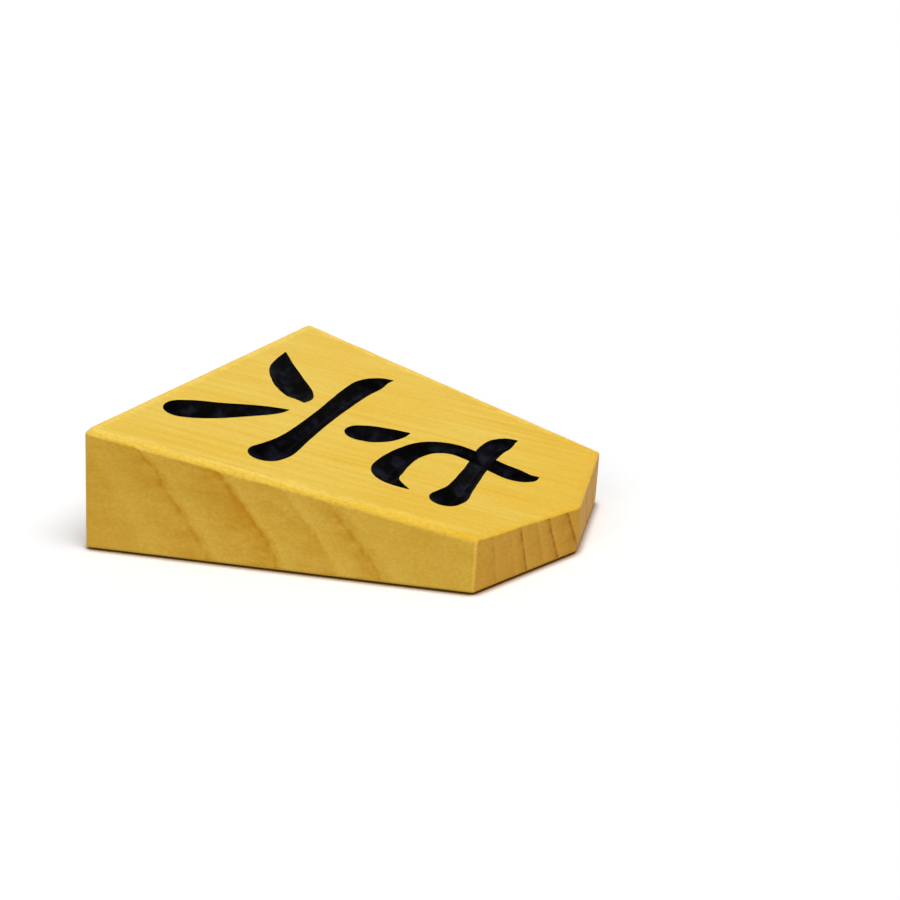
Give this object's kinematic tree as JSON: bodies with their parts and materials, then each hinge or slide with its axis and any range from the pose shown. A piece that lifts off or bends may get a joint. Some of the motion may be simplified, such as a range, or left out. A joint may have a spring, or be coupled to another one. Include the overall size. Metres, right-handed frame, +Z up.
{
  "type": "shogi piece",
  "caption": "Five-sided boxwood game piece, a flat wedge that thins to a pointed head, with brush numerals carved into its face and lined with black lacquer.",
  "frame": {"origin": "on the surface that the piece lies on, under the middle of its box", "axes": "+Z up out of the carved face as the piece lies on its back, +Y from the base towards the pointed head, +X to the right of someone who reads the numerals with the head up"},
  "size_m": [0.029, 0.0318, 0.0089],
  "materials": {
    "boxwood": "polished bare boxwood, satin",
    "black_lacquer": "glossy black lacquer"
  },
  "bodies": {
    "root": {"boxwood_body": "boxwood", "lacquer_seven": "black_lacquer", "lacquer_six_dot": "black_lacquer", "lacquer_six_bar": "black_lacquer", "lacquer_six_left_leg": "black_lacquer", "lacquer_six_right_leg": "black_lacquer"}
  },
  "joints": []
}
